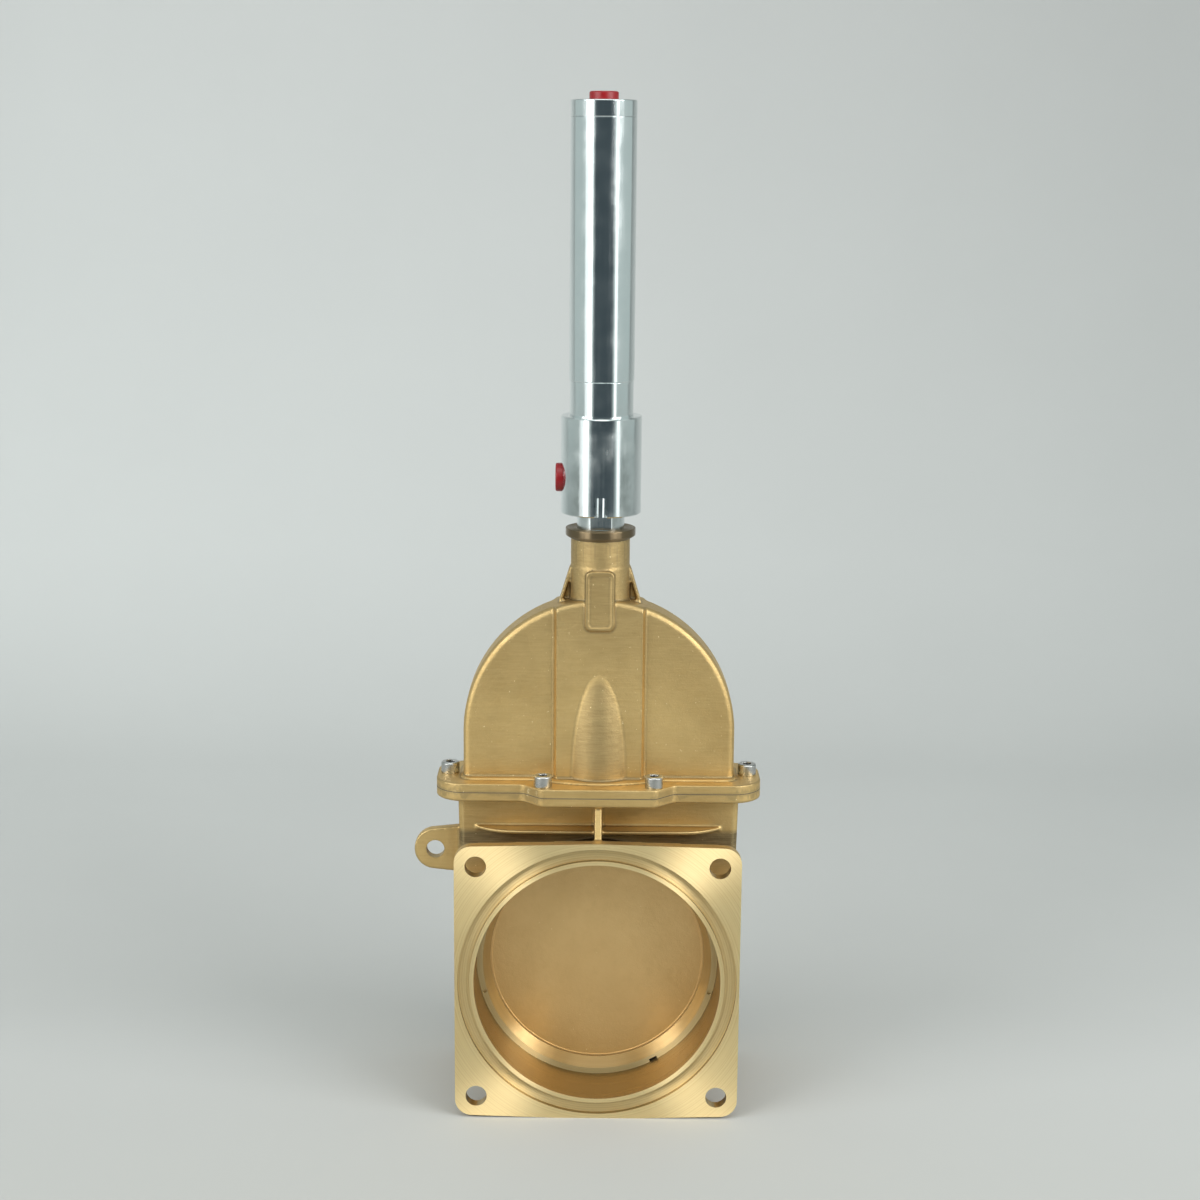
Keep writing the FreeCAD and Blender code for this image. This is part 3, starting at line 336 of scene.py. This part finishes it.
def moulded(name, low, high, roughness):
    """Rubber, sheet or plain plastic with a fine grain."""
    look = Look(name)
    grain = look.noise(0.0009, 3.0)
    look.set(Base_Color=look.mix(grain, low, high))
    look.set(Roughness=look.scaled(grain, 0.3, 0.7, roughness * 0.9, roughness * 1.1))
    look.set(Normal=look.bump(grain, 0.00004, 0.6))
    return look.material


# The darkest and lightest tone and the roughness of the plainer slots
METALS = {
    "bronze": (shade(0.55, 0.34, 0.16), shade(0.66, 0.43, 0.22), 0.4),
    "plated_rod": (shade(0.74, 0.75, 0.77), shade(0.82, 0.83, 0.84), 0.08),
    "stainless_steel": (shade(0.40, 0.40, 0.39), shade(0.55, 0.55, 0.53), 0.28),
}
MOULDINGS = {
    "black_rubber": (shade(0.02, 0.02, 0.02), shade(0.035, 0.035, 0.034), 0.55),
    "soft_seat": (shade(0.76, 0.74, 0.68), shade(0.84, 0.82, 0.76), 0.4),
    "gasket_sheet": (shade(0.07, 0.06, 0.04), shade(0.11, 0.09, 0.06), 0.7),
    "guide_plastic": (shade(0.11, 0.09, 0.07), shade(0.15, 0.12, 0.1), 0.5),
}

LOOKS = {
    "cast_brass": cast_brass(),
    "machined_brass": machined_brass("Y"),
    "turned_steel": turned_steel(),
    "red_plastic": red_plastic(),
}
for slot, tones in METALS.items():
    LOOKS[slot] = plain_metal(slot, *tones)
for slot, tones in MOULDINGS.items():
    LOOKS[slot] = moulded(slot, *tones)

WORN_BRASS = cast_brass(worn=True)
ROD_BRASS = machined_brass("Z", 0.05)
SEAT_BRASS = machined_brass("Y", 0.66)
HEAD_STEEL = turned_steel(0.15)

for entry in frame["record"]["subparts"]:
    node = frame["nodes"][entry["node"]]
    node.material_slots[0].material = LOOKS[entry["material_slot"]]
frame["nodes"]["neck_bush"].material_slots[0].material = ROD_BRASS


# The castings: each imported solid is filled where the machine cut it, melted into one skin with
# soft cast edges, and then cut again, so that cut edges are crisp and cast edges are round
CAST_GRAIN = 0.75 * MM
CAST_SMOOTHING = 4
CAST_SHARE = 0.2
STOCK = 3 * MM
SPARE = 0.5 * MM
FINE = 160
COARSE = 48
CAST = 0
MACHINED = 1

# Angles of edges: shaded sharp, broken on turned pieces, and flat enough to be merged
SHARP_ANGLE = math.radians(24)
BROKEN_ANGLE = math.radians(28)
FLAT_ANGLE = math.radians(0.6)

# Vertices this near to each other are one
WELD = 0.001 * MM

# The corners of a box that holds everything
FAR = 0.4
FAR_LOW = (-FAR, -FAR, -FAR)
FAR_HIGH = (FAR, FAR, FAR)

# Axes by their places in a vector
Y = 1
Z = 2


def new_item(name, data):
    item = bpy.data.objects.new(name, data)
    bpy.context.scene.collection.objects.link(item)
    return item


def from_bmesh(name, bm):
    mesh = bpy.data.meshes.new(name)
    bm.to_mesh(mesh)
    bm.free()
    return new_item(name, mesh)


def modify(item, kind, **settings):
    """Adds a modifier and settles its result in the mesh."""
    modifier = item.modifiers.new(kind.lower(), kind)
    for key, value in settings.items():
        setattr(modifier, key, value)
    shown = item.evaluated_get(bpy.context.evaluated_depsgraph_get())
    mesh = bpy.data.meshes.new_from_object(shown)
    item.modifiers.clear()
    item.data = mesh


def cad_copy(node):
    """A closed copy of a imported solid."""
    bm = bmesh.new()
    bm.from_mesh(frame["nodes"][node].data)
    bmesh.ops.remove_doubles(bm, verts=bm.verts, dist=WELD)
    for face in bm.faces:
        face.material_index = CAST
    return from_bmesh(node + "_blank", bm)


def slab(low, high):
    """A box between two corners."""
    bm = bmesh.new()
    bmesh.ops.create_cube(bm, size=1.0)
    for vertex in bm.verts:
        vertex.co = [a + (c + 0.5) * (b - a) for c, a, b in zip(vertex.co, low, high)]
    return from_bmesh("slab", bm)


def rod(radius, start, end, segments=COARSE):
    """A cylinder between two points."""
    start = Vector(start)
    end = Vector(end)
    along = end - start
    bm = bmesh.new()
    bmesh.ops.create_cone(
        bm, cap_ends=True, segments=segments, radius1=radius, radius2=radius, depth=along.length)
    turn = along.to_track_quat("Z", "Y").to_matrix().to_4x4()
    bmesh.ops.transform(bm, matrix=Matrix.Translation((start + end) / 2) @ turn, verts=bm.verts)
    return from_bmesh("rod", bm)


def lathe(outline):
    """A closed outline of radius and place, turned about the passage's axis."""
    bm = bmesh.new()
    rings = []
    for step in range(FINE):
        angle = 2 * math.pi * step / FINE
        rings.append([
            bm.verts.new((radius * math.cos(angle), place, radius * math.sin(angle)))
            for radius, place in outline
        ])
    count = len(outline)
    for here, there in zip(rings, rings[1:] + rings[:1]):
        for index in range(count):
            after = (index + 1) % count
            bm.faces.new((here[index], here[after], there[after], there[index]))
    bmesh.ops.recalc_face_normals(bm, faces=bm.faces)
    return from_bmesh("turned", bm)


def absorb(item, others):
    """Puts other meshes into this one, as they lie."""
    bm = bmesh.new()
    bm.from_mesh(item.data)
    for other in others:
        bm.from_mesh(other.data)
        bpy.data.objects.remove(other)
    mesh = bpy.data.meshes.new(item.name)
    bm.to_mesh(mesh)
    bm.free()
    item.data = mesh


def cut(item, tools, operation="DIFFERENCE", skin=MACHINED):
    """Cuts with tools that don't touch each other. The cut faces get the material of the skin."""
    tool = tools[0]
    absorb(tool, tools[1:])
    for part in (item, tool):
        if not part.data.materials:
            for material in (WORN_BRASS, LOOKS["machined_brass"]):
                part.data.materials.append(material)
    for face in tool.data.polygons:
        face.material_index = skin
    modify(item, "BOOLEAN", object=tool, operation=operation, solver="EXACT")
    bpy.data.objects.remove(tool)


def stock(blank, low, high, axis, at_high):
    """The slice of a blank between two corners, with its face at the axis's high or low end drawn
    out by what the machine takes off."""
    piece = new_item("stock", blank.data.copy())
    cut(piece, [slab(low, high)], "INTERSECT", CAST)
    places = [vertex.co[axis] for vertex in piece.data.vertices]
    fixed = min(places) if at_high else max(places)
    face = max(places) if at_high else min(places)
    factor = 1 + STOCK / abs(face - fixed)
    for vertex in piece.data.vertices:
        vertex.co[axis] = fixed + (vertex.co[axis] - fixed) * factor
    return piece


def cast(blank, fillers):
    """Melts a blank and its fillers into one skin with soft edges."""
    absorb(blank, fillers)
    modify(blank, "REMESH", mode="VOXEL", voxel_size=CAST_GRAIN)
    modify(blank, "SMOOTH", factor=0.5, iterations=CAST_SMOOTHING)
    modify(blank, "DECIMATE", ratio=CAST_SHARE)


def finish_casting(item, name, node, body):
    """Sets the shading of a machined casting and puts it in the node's place."""
    item.name = name
    bm = bmesh.new()
    bm.from_mesh(item.data)
    for face in bm.faces:
        face.smooth = True
    for edge in bm.edges:
        machined = any(face.material_index == MACHINED for face in edge.link_faces)
        edge.smooth = not (machined and edge.calc_face_angle(0.0) > SHARP_ANGLE)
    bm.to_mesh(item.data)
    bm.free()
    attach(item, body)
    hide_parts(node)


# The body's flanges, bore and face grooves
BACK = mount("rear_bolts")["pos_m"][1]
BOLT_X = mount("front_bolts")["dims"]["spacing_x_mm"] / 2 * MM
BOLT_Z = mount("front_bolts")["dims"]["spacing_y_mm"] / 2 * MM
BOLT_HOLE = mount("front_bolts")["dims"]["hole_r_mm"] * MM
FLANGE_THICKNESS = 9.0 * MM
FLANGE_SLICE = 3 * MM
FLANGE_TOP = 104 * MM
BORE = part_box("front_seat_ring")[1].x + 0.05 * MM
GROOVE_INNER = BORE + 3.0 * MM
GROOVE_OUTER = GROOVE_INNER + 8.4 * MM
GROOVE_DEPTH = 3.5 * MM
LUG_HOLE = mount("lug_hole")["dims"]["r_mm"] * MM
LUG_HALF = mount("lug_hole")["dims"]["length_mm"] / 2 * MM

# The bolted joint of the body and the bonnet. The drills come out well above the bonnet's flange.
BODY_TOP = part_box("valve_body")[1].z
BODY_JOINT_FLANGE = 6.35 * MM
BONNET_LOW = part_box("bonnet_gasket")[1].z
BONNET_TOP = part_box("bonnet")[1].z
BONNET_JOINT_FLANGE = 6.05 * MM
BONNET_DRILLED = 7.35 * MM
BONNET_SLICE = 2 * MM
SCREW_END_X = 105.98 * MM
SCREW_X = 39.0 * MM
SCREW_Y = 34.0 * MM
SCREW_HOLE = 4.4 * MM


def bore_rod(radius, front, back):
    return rod(radius, (0, front, 0), (0, back, 0), FINE)


def bolt_rods(radius, front, back):
    places = [(x, z) for x in (-BOLT_X, BOLT_X) for z in (-BOLT_Z, BOLT_Z)]
    return [rod(radius, (x, front, z), (x, back, z)) for x, z in places]


def screw_rods(radius, low, high):
    places = [(-SCREW_END_X, ROD_Y), (SCREW_END_X, ROD_Y)]
    places += [(x, ROD_Y + y) for x in (-SCREW_X, SCREW_X) for y in (-SCREW_Y, SCREW_Y)]
    return [rod(radius, (x, y, low), (x, y, high)) for x, y in places]


def lug_rod(radius, half_length):
    x, y, z = mount("lug_hole")["pos_m"]
    return rod(radius, (x, y - half_length, z), (x, y + half_length, z))


def body_casting():
    """The body with cast walls, and machined flange faces, bore, grooves, holes and joint face."""
    blank = cad_copy("valve_body")
    before = -STOCK
    behind = BACK + STOCK
    above = BODY_TOP + STOCK
    joint_flange_low = BODY_TOP - BODY_JOINT_FLANGE
    filled = GROOVE_OUTER + SPARE
    deep = GROOVE_DEPTH + SPARE
    cast(blank, [
        stock(blank, FAR_LOW, (FAR, FLANGE_SLICE, FLANGE_TOP), Y, False),
        stock(blank, (-FAR, BACK - FLANGE_SLICE, -FAR), (FAR, FAR, FLANGE_TOP), Y, True),
        stock(blank, (-FAR, -FAR, BODY_TOP - FLANGE_SLICE), FAR_HIGH, Z, True),
        bore_rod(BORE + SPARE, before, behind),
        bore_rod(filled, before, deep),
        bore_rod(filled, BACK - deep, behind),
        *bolt_rods(BOLT_HOLE + SPARE, before, FLANGE_THICKNESS),
        *bolt_rods(BOLT_HOLE + SPARE, BACK - FLANGE_THICKNESS, behind),
        lug_rod(LUG_HOLE + SPARE, LUG_HALF),
        *screw_rods(SCREW_HOLE, joint_flange_low, above),
    ])
    cut(blank, [
        slab(FAR_LOW, (FAR, 0, FAR)),
        slab((-FAR, BACK, -FAR), (FAR, FAR, above)),
        slab((-FAR, SPARE, BODY_TOP), (FAR, BACK - SPARE, FAR)),
    ])
    groove = [
        (GROOVE_INNER, before),
        (GROOVE_OUTER, before),
        (GROOVE_OUTER, GROOVE_DEPTH),
        (GROOVE_INNER, GROOVE_DEPTH),
    ]
    cut(blank, [
        bore_rod(BORE, before, behind),
        lathe(groove),
        lathe([(radius, BACK - place) for radius, place in groove]),
        *bolt_rods(BOLT_HOLE, before, FLANGE_THICKNESS + STOCK),
        *bolt_rods(BOLT_HOLE, BACK - FLANGE_THICKNESS - STOCK, behind),
        lug_rod(LUG_HOLE, 3 * LUG_HALF),
        *screw_rods(SCREW_HOLE, joint_flange_low - STOCK, above),
    ])
    finish_casting(blank, "body_casting", "valve_body", "valve")


def bonnet_casting():
    """The bonnet with cast walls, and machined joint face, screw holes and neck end."""
    blank = cad_copy("bonnet")
    below = BONNET_LOW - STOCK
    cast(blank, [
        stock(blank, FAR_LOW, (FAR, FAR, BONNET_LOW + BONNET_SLICE), Z, False),
        stock(blank, (-FAR, -FAR, BONNET_TOP - BONNET_SLICE), FAR_HIGH, Z, True),
        *screw_rods(SCREW_HOLE + SPARE, below, BONNET_LOW + BONNET_JOINT_FLANGE),
    ])
    cut(blank, [
        slab(FAR_LOW, (FAR, FAR, BONNET_LOW)),
        slab((-FAR, -FAR, BONNET_TOP), FAR_HIGH),
    ])
    cut(blank, screw_rods(SCREW_HOLE, below, BONNET_LOW + BONNET_DRILLED + STOCK))
    finish_casting(blank, "bonnet_casting", "bonnet", "valve")


def bevelled(node, body, width, material=None, split=False):
    """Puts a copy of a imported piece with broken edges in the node's place. Where split, its faces
    of many corners are parted first, so that none is filled across a bore."""
    entry = next(part for part in frame["record"]["subparts"] if part["node"] == node)
    item = cad_copy(node)
    item.name = node + "_turned"
    bm = bmesh.new()
    bm.from_mesh(item.data)
    bmesh.ops.dissolve_limit(bm, angle_limit=FLAT_ANGLE, verts=bm.verts, edges=bm.edges)
    if split:
        bmesh.ops.triangulate(bm, faces=[face for face in bm.faces if len(face.verts) > 4])
    for face in bm.faces:
        face.smooth = True
    bm.to_mesh(item.data)
    bm.free()
    item.data.materials.clear()
    item.data.materials.append(material or LOOKS[entry["material_slot"]])
    modify(item, "BEVEL", width=width, segments=2, limit_method="ANGLE", angle_limit=BROKEN_ANGLE)
    modify(item, "WEIGHTED_NORMAL", mode="FACE_AREA", weight=100, keep_sharp=True)
    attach(item, body)
    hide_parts(node)


body_casting()
bonnet_casting()
bevelled("cylinder_tube", "valve", 0.04 * MM, split=True)
bevelled("end_cap", "valve", 0.2 * MM)
bevelled("bonnet_screws", "valve", 0.25 * MM)
bevelled("front_seat_ring", "valve", 0.25 * MM, SEAT_BRASS)
bevelled("rear_seat_ring", "valve", 0.25 * MM, SEAT_BRASS)
bevelled("cylinder_head", "valve", 0.02 * MM, HEAD_STEEL)
bevelled("lock_ring", "valve", 0.5 * MM, ROD_BRASS)
bevelled("gate", "gate_and_rod", 0.2 * MM)
bevelled("top_port_plug", "top_plug", 0.5 * MM)
bevelled("side_port_plug", "side_plug", 0.5 * MM)


# Floor and backdrop in one sweep
FLOOR_HEIGHT = cad_box[0][2]
FLOOR_FRONT = -1.6
COVE_START = 0.9
COVE_RADIUS = 0.9
BACKDROP_TOP = 3.6
STAGE_HALF_WIDTH = 3.5
COVE_STEPS = 24

# Its tones, and the places between which they change: X across the wall, and Y from the near
# floor to the floor and on to the wall. The wall's lighter left is painted light, and the darker
# near floor is painted shade.
FLOOR_TONES = (shade(0.47, 0.47, 0.459), shade(0.498, 0.498, 0.486))
LIT_LEFT_TONES = (shade(0.705, 0.705, 0.696), shade(0.733, 0.733, 0.724))
SHADED_RIGHT_TONES = (shade(0.545, 0.545, 0.536), shade(0.573, 0.573, 0.564))
# Painted shade on the near floor
SHADED_NEAR_TONE = shade(0.423, 0.423, 0.404)
LEFT_TO_RIGHT = (-0.8, 0.8)
FLOOR_TO_NEAR = (0.1, -0.25)
FLOOR_TO_WALL = (0.2, 1.4)


def paper():
    """Matt paper with broad soft mottling, with painted light on the left of the wall and painted
    shade on the near floor.
    """
    look = Look("paper")
    parts = look.parts(look.place)
    fibres = look.noise(0.25, 4.0)
    # Painted light: the wall lighter on the left than on the right
    left = look.mix(fibres, *LIT_LEFT_TONES)
    right = look.mix(fibres, *SHADED_RIGHT_TONES)
    wall = look.mix(look.scaled(parts["X"], *LEFT_TO_RIGHT), left, right)
    floor = look.mix(fibres, *FLOOR_TONES)
    # Painted shade: the floor darker from the valve towards the camera
    floor = look.mix(look.scaled(parts["Y"], *FLOOR_TO_NEAR), floor, SHADED_NEAR_TONE)
    look.set(Base_Color=look.mix(look.scaled(parts["Y"], *FLOOR_TO_WALL), floor, wall))
    look.set(Roughness=0.85)
    return look.material


def backdrop():
    profile = [(FLOOR_FRONT, FLOOR_HEIGHT)]
    for step in range(COVE_STEPS + 1):
        angle = math.pi / 2 * step / COVE_STEPS
        y = COVE_START + COVE_RADIUS * math.sin(angle)
        profile.append((y, FLOOR_HEIGHT + COVE_RADIUS * (1 - math.cos(angle))))
    profile.append((COVE_START + COVE_RADIUS, BACKDROP_TOP))
    points = [(x, y, z) for y, z in profile for x in (-STAGE_HALF_WIDTH, STAGE_HALF_WIDTH)]
    faces = [(2 * i, 2 * i + 1, 2 * i + 3, 2 * i + 2) for i in range(len(profile) - 1)]
    mesh = bpy.data.meshes.new("backdrop")
    mesh.from_pydata(points, [], faces)
    mesh.shade_smooth()
    mesh.materials.append(paper())
    new_item("backdrop", mesh)


# The dark doorway behind the camera: its azimuths from the valve, the softness of its edges and
# the sine of its highest elevation, with the tones of the room, the doorway and the open view
DARK_LEFT = math.radians(31)
DARK_RIGHT = math.radians(39)
DARK_EDGE = math.radians(4)
DARK_TOP = 0.22
ROOM_TONE = shade(0.50, 0.575, 0.56)
DARK_TONE = shade(0.055, 0.075, 0.085)
OPEN_TONE = shade(0.60, 0.65, 0.63)

# What the lamps look at
LAMP_AIM = (0, 0.06, 0.3)
TOP_LAMP_AIM = (0, 0.1, 0)


def room():
    """A pale room that is dark behind the camera."""
    world = bpy.data.worlds.new("room")
    bpy.context.scene.world = world
    world.use_nodes = True
    nodes = Nodes(world.node_tree)
    way = nodes.parts(nodes.add("TexCoord").outputs["Generated"])
    sideways = nodes.math("DIVIDE", way["X"], way["Y"])
    dark = 1.0
    for value, start, end in (
            (sideways, math.tan(DARK_LEFT + DARK_EDGE), math.tan(DARK_LEFT - DARK_EDGE)),
            (sideways, -math.tan(DARK_RIGHT + DARK_EDGE), -math.tan(DARK_RIGHT - DARK_EDGE)),
            (way["Z"], DARK_TOP + DARK_EDGE, DARK_TOP - DARK_EDGE),
            (way["Y"], 0.0, -0.1)):
        dark = nodes.math("MULTIPLY", dark, nodes.scaled(value, start, end))
    colour = nodes.mix(dark, ROOM_TONE, DARK_TONE)
    to_camera = nodes.add("LightPath").outputs["Is Camera Ray"]
    seen = nodes.mix(to_camera, colour, OPEN_TONE)
    nodes.output("OutputWorld", nodes.add("Background", {"Color": seen, "Strength": 1.0}))


def softbox(name, place, size, radiance, aim=LAMP_AIM):
    """A rectangular lamp. Its place is an azimuth in degrees, with 0 in front of the valve and
    the right side positive, then a distance and a height. Its size is a width and a length."""
    azimuth, distance, height = place
    width, length = size
    angle = math.radians(azimuth)
    lamp = bpy.data.lights.new(name, "AREA")
    lamp.shape = "RECTANGLE"
    lamp.size = width
    lamp.size_y = length
    lamp.energy = math.pi * width * length * radiance
    item = new_item(name, lamp)
    item.location = (distance * math.sin(angle), -distance * math.cos(angle), height)
    item.visible_camera = False
    item.rotation_mode = "QUATERNION"
    item.rotation_quaternion = (Vector(aim) - item.location).to_track_quat("-Z", "Y")


def lamps():
    """Tall lamps and high lamps on both sides, and a broad one above."""
    softbox("left_lamp", (-45, 1.7, 0.42), (0.42, 1.0), 1.2)
    softbox("left_soft_lamp", (-51, 2.0, 0.42), (1.0, 1.1), 0.62)
    softbox("right_lamp", (51, 1.8, 0.42), (0.32, 1.0), 0.95)
    softbox("left_high_lamp", (-55, 1.7, 1.0), (1.3, 0.42), 10.0)
    softbox("right_high_lamp", (55, 1.7, 1.0), (1.3, 0.42), 13.5)
    softbox("top_lamp", (0, 0.7, 1.95), (1.6, 1.2), 1.9, TOP_LAMP_AIM)


def camera():
    lens = bpy.data.cameras.new("camera")
    lens.sensor_width = SENSOR_WIDTH
    lens.lens = SENSOR_WIDTH * FOCAL_PIXELS / PHOTO_SIZE
    lens.clip_start = CLIP_START
    lens.clip_end = CLIP_END
    item = new_item("camera", lens)
    pitch = Matrix.Rotation(math.radians(90 - CAMERA_PITCH), 4, "X")
    roll = Matrix.Rotation(math.radians(CAMERA_ROLL), 4, "Z")
    item.matrix_world = Matrix.Translation((0, -CAMERA_FRONT, CAMERA_HEIGHT)) @ pitch @ roll
    bpy.context.scene.camera = item


backdrop()
room()
lamps()
camera()
bpy.context.scene.view_settings.view_transform = "Standard"
